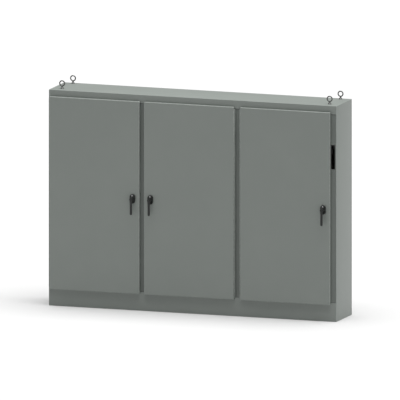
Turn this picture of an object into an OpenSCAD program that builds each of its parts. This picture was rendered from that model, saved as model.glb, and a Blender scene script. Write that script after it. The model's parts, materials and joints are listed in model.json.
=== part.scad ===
// Three-door floor-standing disconnect enclosure in welded sheet steel.
// Frame: origin at the centre of the underside, +X to the right, +Y to the back, +Z up.
// Doors 1 and 3 hang on their left edge, door 2 on its right edge.

/* [Enclosure body] */
// Overall width of the body
body_w = 2971.8; // [2400:0.1:3600]
// Overall height of the body, without the lifting eyes
body_h = 2133.6; // [1700:0.1:2600]
// Overall depth of the body, without the doors
body_d = 457.2; // [360:0.1:600]
// Thickness of the body sheets
sheet_t = 2.7; // [1.5:0.1:4]
// Height of the rail above the door openings
top_rail_h = 80; // [70:1:140]
// Height of the plinth below the door openings
base_rail_h = 184; // [120:1:260]
// Visible strip to the left of door 1
left_strip_w = 16; // [13:1:40]
// Visible width of the plain post between doors 1 and 2
post_1_w = 46; // [30:1:90]
// Visible width of the post that carries the two inner hinges
post_2_w = 65.3; // [40:0.1:120]
// Visible width of the flange to the right of door 3
right_strip_w = 57.5; // [56:0.5:120]
// How far the posts and flanges run on behind the rails
strip_lap = 40; // [25:1:60]

/* [Flange cut-out] */
// Width of the cut-out for the disconnect operator
cutout_w = 40; // [20:1:44]
// Height of the cut-out
cutout_h = 238; // [80:1:300]
// Distance from the top of the body to the top of the cut-out
cutout_drop = 388.5; // [200:0.5:600]
// Distance from the right side of the body to the cut-out
cutout_inset = 15; // [8:0.5:20]

/* [Doors] */
// How far the closed doors stand proud of the body front
door_proud = 28; // [26:1:36]
// Thickness of the door sheets
door_t = 2; // [1.5:0.1:3]
// Gap between the rim of a closed door and the body front
door_rim_gap = 2; // [1:0.5:4]
// How far a door laps over the collar of its opening on each side
door_lap = 17; // [16:1:22]
// Width of the door gasket
gasket_w = 14; // [8:1:16]
// Thickness of the door gasket
gasket_t = 8; // [5:1:12]
// Depth of the hat-section door stiffeners
stiffener_d = 18; // [10:1:30]
// Width of the hat-section door stiffeners
stiffener_w = 40; // [25:1:60]
// Distance from the hinge edge of a door to its outer stiffener
stiffener_inset = 80; // [60:1:140]

/* [Hinges] */
// Radius of the hinge knuckles
knuckle_r = 4.8; // [4.3:0.1:5.5]
// Nominal length of one hinge knuckle
knuckle_l = 25.4; // [20:0.1:60]
// Radius of the hinge pin
hinge_pin_r = 3; // [2:0.1:3.5]
// Thickness of the hinge leaves
leaf_t = 1.5; // [1:0.1:1.6]

/* [Handles and latches] */
// Distance from the latch edge of a door to the handle pivot
pivot_inset = 69; // [60:1:90]
// How far the handle pivots sit below the middle of the doors
pivot_drop = 12; // [0:1:40]
// Width of the oval handle base
base_w = 57; // [50:1:60]
// Height of the oval handle base
base_h = 92; // [88:1:110]
// Thickness of the oval handle base
base_t = 14; // [10:1:16]
// Reach of the lever below its pivot
lever_l = 154; // [110:1:190]
// Width of the lever
lever_w = 24; // [16:1:26]
// Thickness of the lever
lever_t = 12; // [8:1:14]
// Height of the lever's outer face above the door
lever_stand = 56; // [50:1:60]
// Radius of the handle shaft
shaft_r = 8; // [7:0.5:9]
// Radius of the lock plug
plug_r = 8; // [5:0.5:9]
// Radius from the pivot to the cam's rod pins
cam_pin_r = 25; // [24:0.5:30]
// Length of the cam tongue that reaches behind the post
tongue_l = 80; // [74:1:84]
// Width of the latch rods
rod_w = 16; // [12:1:18]
// Thickness of the cam and of the latch rods
latch_t = 5; // [4:0.5:6]

/* [Lifting eyes] */
// Radius of the eye ring, to the middle of its wire
eye_ring_r = 25; // [22:0.5:35]
// Radius of the eye wire
eye_wire_r = 6; // [4:0.5:7]
// Height of the ring's centre above the top of the body
eye_rise = 52; // [50:1:75]
// Distance from the side of the body to an eye
eye_side_inset = 103; // [60:1:200]
// Distance from the front of the body to the front eyes
eye_front_inset = 97; // [50:1:140]
// Distance from the back of the body to the back eyes
eye_back_inset = 40; // [30:1:90]

/* [Inside] */
// Gap from the edge of a door to the edge of its mounting panel
panel_inset = 46; // [30:1:80]
// Gap from the floor and from the top of the body to the mounting panels
panel_end_gap = 152; // [100:1:220]
// Thickness of the mounting panels
panel_t = 2.7; // [1.5:0.1:4]
// Height of the collars that hold the mounting panels off the back
panel_standoff = 26; // [15:1:50]
// Height of the document pocket
pocket_h = 230; // [150:1:320]
// Depth of the document pocket
pocket_d = 25; // [18:1:30]
// Distance from the corner of the body to a floor anchor hole, each way
anchor_inset = 50; // [40:1:80]
// Radius of the floor anchor holes
anchor_r = 7; // [5:0.5:9]

/* [Hidden] */
$fn = 64;
eps = 0.01;          // overshoot of a cut past the face it opens
face_gap = 0.3;      // two pieces that meet but don't fasten
run_gap = 0.05;      // radial play of a pin or shaft in its bore
hole_gap = 0.3;      // radial play of a bolt in a sheet
knuckle_gap = 0.4;   // between neighbouring knuckles
leaf_gap = 0.5;      // between a knuckle and the other leaf
slide_gap = 0.4;     // between a rod and its guides

// Heights
opening_z0 = base_rail_h;
opening_z1 = body_h - top_rail_h;
opening_h = opening_z1 - opening_z0;
door_z0 = opening_z0 - door_lap;
door_h = opening_h + 2 * door_lap;
pivot_z = door_z0 + door_h / 2 - pivot_drop;

// Depths, from the front to the back
front_y = -body_d / 2;
back_y = body_d / 2;
door_y = front_y - door_proud;
door_in_y = door_y + door_t;
collar_y = door_in_y + gasket_t + face_gap;
strip_y = front_y + sheet_t;
strip_back_y = strip_y + sheet_t;
hinge_y = front_y - door_proud / 2;
cam_y = strip_back_y + 2 * face_gap;
cam_back_y = cam_y + latch_t;
rod_y = cam_back_y + 2 * face_gap;
rod_back_y = rod_y + latch_t;
roller_y = rod_y + latch_t / 2;
panel_back_y = back_y - sheet_t - panel_standoff;
panel_y = panel_back_y - panel_t;

// Widths: each door is hung in a local frame whose X runs from its hinge axis to its latch edge
hinge_offset = knuckle_r + leaf_gap + leaf_t;
door_w = (body_w - left_strip_w - post_1_w - post_2_w - right_strip_w) / 3;
door_left = [
  -body_w / 2 + left_strip_w,
  -body_w / 2 + left_strip_w + door_w + post_1_w,
  body_w / 2 - right_strip_w - door_w
];
DOORS = [1, 2, 3];
hand = [1, -1, 1];   // 1 hangs on the left edge, -1 on the right edge
hinge_x = [
  for (i = [0:2]) hand[i] > 0 ? door_left[i] - hinge_offset : door_left[i] + door_w + hinge_offset
];
edge_x = hinge_offset;
latch_edge_x = edge_x + door_w;
pivot_x = latch_edge_x - pivot_inset;
middle_x = edge_x + door_w / 2;

// Hinges
hinge_end_gap = sheet_t + 2;
hinge_z0 = opening_z0 + hinge_end_gap;
hinge_l = opening_h - 2 * hinge_end_gap;
knuckles = 2 * floor(hinge_l / knuckle_l / 2) + 1;
knuckle_pitch = hinge_l / knuckles;
leaf_half_w = 9;

// Handle
neck_r = 15;
boss_r = 20;
boss_t = 30;
hub_r = 17;
neck_nut_t = 6;
neck_nut_flats = 40.5;
lock_rise = 31;
plug_depth = 9;
plug_proud = 1.5;
shaft_square = 11;
stem_r = 4;
m8_flats = 13;
key_slot_w = 2;
key_slot_h = 9;
key_slot_d = 4;

// Latch: the cam pins swing 45 degrees to either side of level
cam_swing = 45;
cam_hub_r = 15;
cam_pin_size = 4;
cam_pin_wall = 3;
cam_head_r = 6;
cam_head_t = 1.5;
cam_side = cam_pin_r * cos(cam_swing);
rod_travel = 2 * cam_pin_r * sin(cam_swing);
rod_x = (cam_pin_r + cam_side) / 2;
pin_rise_error = 1;  // slack that turns the cam's arc into an even slide
slot_half_h = cam_pin_size + pin_rise_error;
slot_half_w = cam_pin_size + (cam_pin_r - cam_side) / 2 + 2 * face_gap;
slot_wall = 3.6;
slot_end_wall = 5.6;
roller_r = roller_y - strip_y - face_gap;
roller_w = 10;
roller_pin_r = 4;
roller_head_r = 6;
roller_head_t = 2;
roller_clear = 4;    // between a drawn-back roller and the collar it swings past
roller_top_z = opening_z1 - sheet_t - roller_clear - roller_r;
roller_low_z = opening_z0 + sheet_t + roller_clear + roller_r;
rod_end = 7;
guide_t = 3;
guide_wall = 8;
guide_foot_h = 24;
guide_near = 150;    // from the pivot to the nearer guides
guide_far = 120;     // from the end of the opening to the farther guides

// Stiffeners and document pocket
brace_t = 1.5;
brace_end_gap = 90;
stiffener_x = [edge_x + stiffener_inset, middle_x - stiffener_w / 2];
pocket_gap = 30;
pocket_x = stiffener_x[0] + stiffener_w + pocket_gap;
pocket_w = stiffener_x[1] - pocket_gap - pocket_x;
pocket_wall = 1.2;
pocket_drop = 330;

// Studs and nuts
post_stud_r = 4;
post_stud_l = 16;
post_stud_x = 14;
panel_stud_r = 4.8;
panel_stud_inset = 25;
panel_stud_l = 20;
panel_collar_r = 9;
m10_flats = 16;
nut_t = 6.5;
ground_stud_r = 5;
ground_stud_l = 35;
ground_z = 90;
ground_y = 60;
eye_shank_r = 6.35;
eye_foot_r = 17;
eye_foot_t = 8;
eye_neck_r = 7;
eye_nut_flats = 19;
eye_nut_t = 10;
eye_washer_r = 16;
eye_washer_t = 2.5;

STEEL_GREY = [0.46, 0.48, 0.46];
POST_GREY = [0.36, 0.38, 0.36];
BLACK = [0.12, 0.13, 0.12];
ZINC = [0.72, 0.73, 0.74];
EYE_GREY = [0.35, 0.36, 0.36];

SHELL_NODES = [
  "back_panel", "left_side", "right_side", "top_panel", "bottom_panel", "top_rail", "base_rail",
  "left_flange", "right_flange", "post_1", "post_2", "post_fixings", "lifting_eyes", "eye_nuts",
  "panel_studs", "panel_nuts", "ground_studs", "frame_hinge_leaves", "hinge_pins", "document_pocket"
];
DOOR_NODES = [
  "door_", "gasket_", "door_bracing_", "door_hinge_leaf_", "handle_base_", "handle_", "lock_plug_",
  "latch_cam_", "upper_rod_", "lower_rod_", "upper_roller_", "lower_roller_", "mounting_panel_"
];

// ---------------------------------------------------------------- helpers

// A box given by its lowest and highest corners
module block(low, high) {
  translate(low) cube(high - low);
}

// Places a door's pieces, drawn in its local frame, on hinge n
module hang(n) {
  translate([hinge_x[n - 1], 0, 0]) mirror([hand[n - 1] > 0 ? 0 : 1, 0, 0]) children();
}

// A cylinder along Y
module rod_along_y(r, y0, y1) {
  translate([0, y0, 0]) rotate([-90, 0, 0]) cylinder(r = r, h = y1 - y0);
}

// A cylinder along X
module rod_along_x(r, x0, x1) {
  translate([x0, 0, 0]) rotate([0, 90, 0]) cylinder(r = r, h = x1 - x0);
}

// A hex nut with its bore along Y
module nut_along_y(flats, bore_r, y0, y1) {
  difference() {
    translate([0, y0, 0]) rotate([-90, 0, 0]) cylinder(d = flats / cos(30), h = y1 - y0, $fn = 6);
    rod_along_y(bore_r, y0 - eps, y1 + eps);
  }
}

module each_eye() {
  for (side = [-1, 1]) for (y = [eye_front_inset - body_d / 2, body_d / 2 - eye_back_inset])
    translate([side * (body_w / 2 - eye_side_inset), y, 0]) children();
}

module each_panel_stud(n) {
  x0 = door_left[n - 1] + panel_inset + panel_stud_inset;
  x1 = door_left[n - 1] + door_w - panel_inset - panel_stud_inset;
  z0 = panel_end_gap + panel_stud_inset;
  z1 = body_h - panel_end_gap - panel_stud_inset;
  for (x = [x0, x1]) for (z = [z0, z1]) translate([x, 0, z]) children();
}

module each_post_stud() {
  for (x = [post_x(0), post_x(1)]) for (s = [-1, 1])
    for (z = [opening_z0 - strip_lap / 2, opening_z1 + strip_lap / 2])
      translate([x + s * post_stud_x, 0, z]) children();
}

// The middle of post 1 (i = 0) or post 2 (i = 1)
function post_x(i) = (door_left[i] + door_w + door_left[i + 1]) / 2;

// ---------------------------------------------------------------- body sheets

module back_panel() {
  color(STEEL_GREY)
    block([-body_w / 2 + sheet_t, back_y - sheet_t, sheet_t],
          [body_w / 2 - sheet_t, back_y, body_h - sheet_t]);
}

module side_sheet(x0) {
  color(STEEL_GREY) block([x0, front_y, sheet_t], [x0 + sheet_t, back_y, body_h - sheet_t]);
}

module left_side() {
  side_sheet(-body_w / 2);
}

module right_side() {
  side_sheet(body_w / 2 - sheet_t);
}

module top_panel() {
  color(STEEL_GREY) difference() {
    block([-body_w / 2, front_y, body_h - sheet_t], [body_w / 2, back_y, body_h]);
    each_eye() translate([0, 0, body_h - sheet_t - eps])
      cylinder(r = eye_shank_r + hole_gap, h = sheet_t + 2 * eps);
  }
}

module bottom_panel() {
  color(STEEL_GREY) difference() {
    block([-body_w / 2, front_y, 0], [body_w / 2, back_y, sheet_t]);
    for (sx = [-1, 1]) for (sy = [-1, 1])
      translate([sx * (body_w / 2 - anchor_inset), sy * (body_d / 2 - anchor_inset), -eps])
        cylinder(r = anchor_r, h = sheet_t + 2 * eps);
  }
}

// A full-width front sheet with a collar lip turned forward along each door opening
module front_rail(z0, z1, lip_z) {
  color(STEEL_GREY) {
    block([-body_w / 2 + sheet_t, front_y, z0], [body_w / 2 - sheet_t, strip_y, z1]);
    for (x = door_left)
      block([x + door_lap, collar_y, lip_z], [x + door_w - door_lap, strip_y, lip_z + sheet_t]);
  }
}

module top_rail() {
  front_rail(opening_z1 - sheet_t, body_h - sheet_t, opening_z1 - sheet_t);
}

module base_rail() {
  front_rail(sheet_t, opening_z0 + sheet_t, opening_z0);
}

// A recessed upright strip from x0 to x1, with a collar lip turned forward on the given edges
module upright(x0, x1, left_lip, right_lip) {
  block([x0, strip_y, opening_z0 - strip_lap], [x1, strip_back_y, opening_z1 + strip_lap]);
  if (left_lip)
    block([x0, collar_y, opening_z0 + sheet_t], [x0 + sheet_t, strip_back_y, opening_z1 - sheet_t]);
  if (right_lip)
    block([x1 - sheet_t, collar_y, opening_z0 + sheet_t], [x1, strip_back_y, opening_z1 - sheet_t]);
}

module left_flange() {
  color(POST_GREY) upright(-body_w / 2 + sheet_t, door_left[0] + door_lap, false, true);
}

module right_flange() {
  cut_x1 = body_w / 2 - cutout_inset;
  cut_z1 = body_h - cutout_drop;
  color(POST_GREY) difference() {
    upright(door_left[2] + door_w - door_lap, body_w / 2 - sheet_t, true, false);
    block([cut_x1 - cutout_w, strip_y - eps, cut_z1 - cutout_h], [cut_x1, strip_back_y + eps, cut_z1]);
  }
}

module post(i) {
  color(POST_GREY) difference() {
    upright(door_left[i] + door_w - door_lap, door_left[i + 1] + door_lap, true, true);
    each_post_stud() rod_along_y(post_stud_r + hole_gap, strip_y - eps, strip_back_y + eps);
  }
}

module post_1() {
  post(0);
}

module post_2() {
  post(1);
}

// Weld studs on the backs of the rails, and the nuts that hold the posts on them
module post_fixings() {
  color(ZINC) each_post_stud() {
    rod_along_y(post_stud_r, strip_y, strip_y + post_stud_l);
    nut_along_y(m8_flats, post_stud_r + run_gap, strip_back_y, strip_back_y + nut_t);
  }
}

// ---------------------------------------------------------------- lifting eyes

module lifting_eyes() {
  color(EYE_GREY) each_eye() translate([0, 0, body_h]) {
    translate([0, 0, eye_rise]) rotate([90, 0, 0]) rotate_extrude()
      translate([eye_ring_r, 0]) circle(r = eye_wire_r);
    cylinder(r = eye_foot_r, h = eye_foot_t);
    cylinder(r = eye_neck_r, h = eye_rise - eye_ring_r);
    translate([0, 0, -sheet_t - eye_washer_t - eye_nut_t - sheet_t])
      cylinder(r = eye_shank_r, h = eye_nut_t + eye_washer_t + 2 * sheet_t + eps);
  }
}

// A flanged nut under the top sheet for each eye
module eye_nuts() {
  nut_top = body_h - sheet_t;
  color(ZINC) each_eye() difference() {
    union() {
      translate([0, 0, nut_top - eye_washer_t]) cylinder(r = eye_washer_r, h = eye_washer_t);
      translate([0, 0, nut_top - eye_washer_t - eye_nut_t])
        cylinder(d = eye_nut_flats / cos(30), h = eye_nut_t + eps, $fn = 6);
    }
    translate([0, 0, nut_top - eye_washer_t - eye_nut_t - eps])
      cylinder(r = eye_shank_r + run_gap, h = eye_nut_t + eye_washer_t + 2 * eps);
  }
}

// ---------------------------------------------------------------- inside

module mounting_panel(n) {
  x0 = door_left[n - 1] + panel_inset;
  color("white") difference() {
    block([x0, panel_y, panel_end_gap],
          [x0 + door_w - 2 * panel_inset, panel_back_y, body_h - panel_end_gap]);
    each_panel_stud(n) rod_along_y(panel_stud_r + hole_gap, panel_y - eps, panel_back_y + eps);
  }
}

// Collar studs welded to the back sheet
module panel_studs() {
  color(ZINC) for (n = DOORS) each_panel_stud(n) {
    rod_along_y(panel_collar_r, panel_back_y, back_y - sheet_t);
    rod_along_y(panel_stud_r, panel_y - panel_stud_l, back_y - sheet_t);
  }
}

module panel_nuts() {
  color(ZINC) for (n = DOORS) each_panel_stud(n)
    nut_along_y(m10_flats, panel_stud_r + run_gap, panel_y - nut_t, panel_y);
}

// One earthing stud with its nut on the inside of each side sheet
module ground_studs() {
  inner_x = body_w / 2 - sheet_t;
  color(ZINC) for (s = [0, 1]) mirror([s, 0, 0]) translate([0, ground_y, ground_z]) {
    rod_along_x(ground_stud_r, inner_x - ground_stud_l, inner_x);
    translate([inner_x - nut_t, 0, 0]) rotate([0, 90, 0])
      cylinder(d = m10_flats / cos(30), h = nut_t, $fn = 6);
  }
}

// An open-topped sheet pocket for drawings on the inside of door 3
module document_pocket() {
  z0 = pivot_z - pocket_drop;
  y1 = door_in_y + pocket_d;
  color(STEEL_GREY) hang(3) difference() {
    block([pocket_x, door_in_y, z0], [pocket_x + pocket_w, y1, z0 + pocket_h]);
    block([pocket_x + pocket_wall, door_in_y - eps, z0 + pocket_wall],
          [pocket_x + pocket_w - pocket_wall, y1 - pocket_wall, z0 + pocket_h + eps]);
  }
}

// ---------------------------------------------------------------- hinges

function knuckle_z(i) = hinge_z0 + i * knuckle_pitch + knuckle_gap / 2;
knuckle_h = knuckle_pitch - knuckle_gap;

// Every second knuckle, from the first one given, joined by children and bored for the pin
module knuckle_row(first) {
  difference() {
    union() {
      for (i = [first:2:knuckles - 1])
        translate([0, hinge_y, knuckle_z(i)]) cylinder(r = knuckle_r, h = knuckle_h, $fn = 32);
      children();
    }
    translate([0, hinge_y, hinge_z0 - eps])
      cylinder(r = hinge_pin_r + run_gap, h = hinge_l + 2 * eps, $fn = 32);
  }
}

// The leaf that is plug-welded to the upright: a foot, and a web out to its knuckles
module frame_leaf() {
  web_y = hinge_y + knuckle_r + leaf_gap;
  knuckle_row(0) {
    block([-leaf_t / 2, strip_y - leaf_t, hinge_z0], [knuckle_r, strip_y, hinge_z0 + hinge_l]);
    block([-leaf_t / 2, web_y, hinge_z0], [leaf_t / 2, strip_y, hinge_z0 + hinge_l]);
    for (i = [0:2:knuckles - 1])
      block([-leaf_t / 2, hinge_y + hinge_pin_r, knuckle_z(i)],
            [leaf_t / 2, web_y + eps, knuckle_z(i) + knuckle_h]);
  }
}

module frame_hinge_leaves() {
  color(STEEL_GREY) for (n = DOORS) hang(n) frame_leaf();
}

module hinge_pins() {
  color(ZINC) for (n = DOORS) hang(n)
    translate([0, hinge_y, hinge_z0]) cylinder(r = hinge_pin_r, h = hinge_l, $fn = 32);
}

// The leaf that is welded to the rim of the door
module door_hinge_leaf(n) {
  plate_x = edge_x - leaf_t;
  color(STEEL_GREY) hang(n) knuckle_row(1) {
    block([plate_x, hinge_y - leaf_half_w, hinge_z0], [edge_x, hinge_y + leaf_half_w, hinge_z0 + hinge_l]);
    for (i = [1:2:knuckles - 1])
      block([hinge_pin_r, hinge_y - leaf_t / 2, knuckle_z(i)],
            [plate_x + eps, hinge_y + leaf_t / 2, knuckle_z(i) + knuckle_h]);
  }
}

// ---------------------------------------------------------------- doors

module door(n) {
  color(STEEL_GREY) hang(n) difference() {
    block([edge_x, door_y, door_z0], [latch_edge_x, front_y - door_rim_gap, door_z0 + door_h]);
    block([edge_x + door_t, door_in_y, door_z0 + door_t],
          [latch_edge_x - door_t, front_y, door_z0 + door_h - door_t]);
    translate([pivot_x, 0, pivot_z]) rod_along_y(neck_r + hole_gap, door_y - eps, door_in_y + eps);
  }
}

// A closed sponge ring that the collar of the opening presses into
module gasket(n) {
  inset = door_lap + sheet_t / 2 - gasket_w / 2;
  inner = inset + gasket_w;
  color(BLACK) hang(n) difference() {
    block([edge_x + inset, door_in_y, door_z0 + inset],
          [latch_edge_x - inset, door_in_y + gasket_t, door_z0 + door_h - inset]);
    block([edge_x + inner, door_in_y - eps, door_z0 + inner],
          [latch_edge_x - inner, door_in_y + gasket_t + eps, door_z0 + door_h - inner]);
  }
}

// An upright hat section whose open side is against the door
module stiffener(x0) {
  z0 = door_z0 + brace_end_gap;
  z1 = door_z0 + door_h - brace_end_gap;
  difference() {
    block([x0, door_in_y, z0], [x0 + stiffener_w, door_in_y + stiffener_d, z1]);
    block([x0 + brace_t, door_in_y - eps, z0 - eps],
          [x0 + stiffener_w - brace_t, door_in_y + stiffener_d - brace_t, z1 + eps]);
  }
}

// A bracket on the door with a window that guides the rod at x
module rod_guide(x, z) {
  half_w = rod_w / 2 + slide_gap;
  difference() {
    union() {
      block([x - half_w - guide_wall, door_in_y, z],
            [x + half_w + guide_wall, rod_back_y + guide_t, z + guide_t]);
      block([x - half_w - guide_wall, door_in_y, z],
            [x + half_w + guide_wall, door_in_y + guide_t, z + guide_foot_h]);
    }
    block([x - half_w, rod_y - slide_gap, z - eps], [x + half_w, rod_back_y + slide_gap, z + guide_t + eps]);
  }
}

module door_bracing(n) {
  color(STEEL_GREY) hang(n) {
    for (x = stiffener_x) stiffener(x);
    for (z = [pivot_z + guide_near, opening_z1 - guide_far]) rod_guide(pivot_x - rod_x, z);
    for (z = [pivot_z - guide_near, opening_z0 + guide_far]) rod_guide(pivot_x + rod_x, z);
  }
}

// ---------------------------------------------------------------- handles

// The outline of the handle base
module oval(w, h) {
  square([w, h - w], center = true);
  for (s = [-1, 1]) translate([0, s * (h - w) / 2]) circle(d = w);
}

// The oval base with its boss, a threaded neck through the door and the nut behind it
module handle_base(n) {
  neck_y = door_in_y + neck_nut_t + door_t;
  color(BLACK) hang(n) translate([pivot_x, 0, pivot_z]) {
    difference() {
      union() {
        translate([0, door_y, 0]) rotate([90, 0, 0]) linear_extrude(base_t) oval(base_w, base_h);
        rod_along_y(boss_r, door_y - boss_t, door_y);
        rod_along_y(neck_r, door_y - eps, neck_y);
      }
      rod_along_y(shaft_r + run_gap, door_y - boss_t - eps, neck_y + eps);
      translate([0, 0, lock_rise])
        rod_along_y(plug_r + run_gap, door_y - base_t - eps, door_y - base_t + plug_depth);
    }
    nut_along_y(neck_nut_flats, neck_r + run_gap, door_in_y, door_in_y + neck_nut_t);
  }
}

// The swing lever, with its hub and the shaft that drives the cam
module handle(n) {
  arm_y = door_y - lever_stand;
  hub_y = door_y - boss_t - face_gap;
  color(BLACK) hang(n) translate([pivot_x, 0, pivot_z]) {
    rod_along_y(hub_r, arm_y, hub_y);
    translate([0, arm_y + lever_t, 0]) rotate([90, 0, 0]) linear_extrude(lever_t) {
      translate([-lever_w / 2, lever_w / 2 - lever_l]) square([lever_w, lever_l - lever_w / 2]);
      translate([0, lever_w / 2 - lever_l]) circle(d = lever_w);
    }
    rod_along_y(shaft_r, hub_y - eps, cam_y - face_gap);
    block([-shaft_square / 2, cam_y - face_gap - eps, -shaft_square / 2],
          [shaft_square / 2, cam_back_y - face_gap, shaft_square / 2]);
    rod_along_y(stem_r, cam_back_y - face_gap - eps, cam_back_y + nut_t);
  }
}

// A key-operated plug in the head of the base, with a key slot in its face
module lock_plug(n) {
  face_y = door_y - base_t - plug_proud;
  color(ZINC) hang(n) translate([pivot_x, 0, pivot_z + lock_rise]) difference() {
    rod_along_y(plug_r, face_y, door_y - base_t + plug_depth - face_gap);
    block([-key_slot_w / 2, face_y - eps, -key_slot_h / 2],
          [key_slot_w / 2, face_y + key_slot_d, key_slot_h / 2]);
  }
}

// ---------------------------------------------------------------- latch

// The cam: two rod pins on one face, a tongue, and the nut that keeps it on the shaft
module latch_cam(n) {
  arm_w = 2 * (cam_pin_size + cam_pin_wall);
  hole = shaft_square + 2 * run_gap;
  pin_end_y = rod_back_y + 2 * face_gap;
  color(ZINC) hang(n) translate([pivot_x, 0, pivot_z]) {
    difference() {
      union() {
        rod_along_y(cam_hub_r, cam_y, cam_back_y);
        rotate([0, -cam_swing, 0]) {
          block([-cam_pin_r, cam_y, -arm_w / 2], [cam_pin_r, cam_back_y, arm_w / 2]);
          for (s = [-1, 1]) translate([s * cam_pin_r, 0, 0]) {
            rod_along_y(arm_w / 2, cam_y, cam_back_y);
            rod_along_y(cam_pin_size, cam_y, pin_end_y + eps);
            rod_along_y(cam_head_r, pin_end_y, pin_end_y + cam_head_t);
          }
        }
        block([-lever_w / 2, cam_y, 0], [lever_w / 2, cam_back_y, tongue_l]);
      }
      block([-hole / 2, cam_y - eps, -hole / 2], [hole / 2, cam_back_y + eps, hole / 2]);
    }
    nut_along_y(m8_flats, stem_r + run_gap, cam_back_y, cam_back_y + latch_t);
  }
}

// A latch rod in the frame of its slot: it runs up to a roller pin that points to the side given
module latch_rod(length, side) {
  plate_half_w = slot_half_w + slot_wall;
  plate_half_h = slot_half_h + slot_end_wall;
  difference() {
    union() {
      block([-plate_half_w, rod_y, -plate_half_h], [plate_half_w, rod_back_y, plate_half_h]);
      block([-rod_w / 2, rod_y, 0], [rod_w / 2, rod_back_y, length + rod_end]);
    }
    block([-slot_half_w, rod_y - eps, -slot_half_h], [slot_half_w, rod_back_y + eps, slot_half_h]);
  }
  translate([0, roller_y, length]) mirror([side > 0 ? 0 : 1, 0, 0]) {
    head_x = rod_w / 2 + roller_w + 2 * face_gap;
    rod_along_x(roller_pin_r, 0, head_x + eps);
    rod_along_x(roller_head_r, head_x, head_x + roller_head_t);
  }
}

module upper_rod(n) {
  slot_z = pivot_z - rod_travel / 2;
  color(ZINC) hang(n) translate([pivot_x - rod_x, 0, slot_z]) latch_rod(roller_top_z - slot_z, 1);
}

module lower_rod(n) {
  slot_z = pivot_z + rod_travel / 2;
  color(ZINC) hang(n) translate([pivot_x + rod_x, 0, slot_z]) mirror([0, 0, 1])
    latch_rod(slot_z - roller_low_z, -1);
}

// A roller beside the end of a rod
module roller(x, z) {
  translate([x, roller_y, z]) difference() {
    rod_along_x(roller_r, 0, roller_w);
    rod_along_x(roller_pin_r + run_gap, -eps, roller_w + eps);
  }
}

module upper_roller(n) {
  color("white") hang(n) roller(pivot_x - rod_x + rod_w / 2 + face_gap, roller_top_z);
}

module lower_roller(n) {
  color("white") hang(n) roller(pivot_x + rod_x - rod_w / 2 - face_gap - roller_w, roller_low_z);
}

// ---------------------------------------------------------------- assembly

back_panel();
left_side();
right_side();
top_panel();
bottom_panel();
top_rail();
base_rail();
left_flange();
right_flange();
post_1();
post_2();
post_fixings();
lifting_eyes();
eye_nuts();
panel_studs();
panel_nuts();
ground_studs();
frame_hinge_leaves();
hinge_pins();
document_pocket();
for (n = DOORS) {
  door(n);
  gasket(n);
  door_bracing(n);
  door_hinge_leaf(n);
  handle_base(n);
  handle(n);
  lock_plug(n);
  latch_cam(n);
  upper_rod(n);
  lower_rod(n);
  upper_roller(n);
  lower_roller(n);
  mounting_panel(n);
}
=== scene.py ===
# %% [markdown]
# # A three-door floor-standing disconnect enclosure
# The real thing is a welded cabinet of painted sheet steel, almost three metres wide, with three doors on
# continuous hinges, three swing levers, four lifting eyes on the roof and an open slot in its right flange.
# The measured model is loaded first and is never moved. Every cell after this one takes its places and
# sizes from that model, so nothing has to be fitted by eye.

import json
import math

import bmesh
import bpy
import numpy as np
from mathutils import Matrix, Vector


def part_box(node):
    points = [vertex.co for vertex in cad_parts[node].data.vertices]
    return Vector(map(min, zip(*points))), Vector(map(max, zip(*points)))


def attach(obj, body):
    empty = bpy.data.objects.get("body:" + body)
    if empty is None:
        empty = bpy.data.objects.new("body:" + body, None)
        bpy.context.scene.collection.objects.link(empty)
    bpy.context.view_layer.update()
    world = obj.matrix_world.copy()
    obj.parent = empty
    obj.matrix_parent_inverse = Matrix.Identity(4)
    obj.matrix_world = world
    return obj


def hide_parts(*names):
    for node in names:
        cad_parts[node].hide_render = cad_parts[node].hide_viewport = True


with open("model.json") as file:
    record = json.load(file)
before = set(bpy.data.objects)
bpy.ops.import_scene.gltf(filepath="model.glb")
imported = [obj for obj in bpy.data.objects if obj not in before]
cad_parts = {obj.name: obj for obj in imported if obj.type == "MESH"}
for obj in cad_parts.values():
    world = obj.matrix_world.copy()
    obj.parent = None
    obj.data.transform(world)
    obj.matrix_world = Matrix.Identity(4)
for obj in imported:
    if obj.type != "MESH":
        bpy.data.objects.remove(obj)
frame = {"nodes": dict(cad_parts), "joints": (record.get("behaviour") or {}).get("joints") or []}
nodes = frame["nodes"]
joints = {j["name"]: j for j in frame["joints"]}
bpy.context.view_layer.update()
BODY_LOW, BODY_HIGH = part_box("bottom_panel")[0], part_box("top_panel")[1]
SHEET = BODY_HIGH.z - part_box("back_panel")[1].z
print("nodes", len(nodes), "body", [round(v, 4) for v in BODY_HIGH - BODY_LOW], "sheet", round(SHEET, 4))

# %% [markdown]
# ## The camera
# A product drawing of a cabinet is made with a parallel lens, so that its long edges stay parallel. The
# camera looks from the right and a little above. It aims at the middle of the body, and a few millimetres
# of offset in its own plane put the body where it belongs in the frame.

# %% Parallel camera
VIEW_AZIMUTH, VIEW_ELEVATION = math.radians(19.40), math.radians(9.52)
VIEW_WIDTH = 3.9005
AIM_RIGHT, AIM_UP = -0.0036, 0.0208
toward = Vector((
    math.sin(VIEW_AZIMUTH) * math.cos(VIEW_ELEVATION),
    -math.cos(VIEW_AZIMUTH) * math.cos(VIEW_ELEVATION),
    math.sin(VIEW_ELEVATION),
))
camera = bpy.data.objects.new("view", bpy.data.cameras.new("view"))
camera.data.type = "ORTHO"
camera.data.ortho_scale = VIEW_WIDTH
camera.data.clip_end = 100
turn = toward.to_track_quat("Z", "Y")
middle = (BODY_LOW + BODY_HIGH) / 2
camera.location = middle + toward * 12 + turn @ Vector((AIM_RIGHT, AIM_UP, 0))
camera.rotation_euler = turn.to_euler()
bpy.context.scene.collection.objects.link(camera)
bpy.context.scene.camera = camera
print("camera", [round(v, 3) for v in camera.location])

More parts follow.
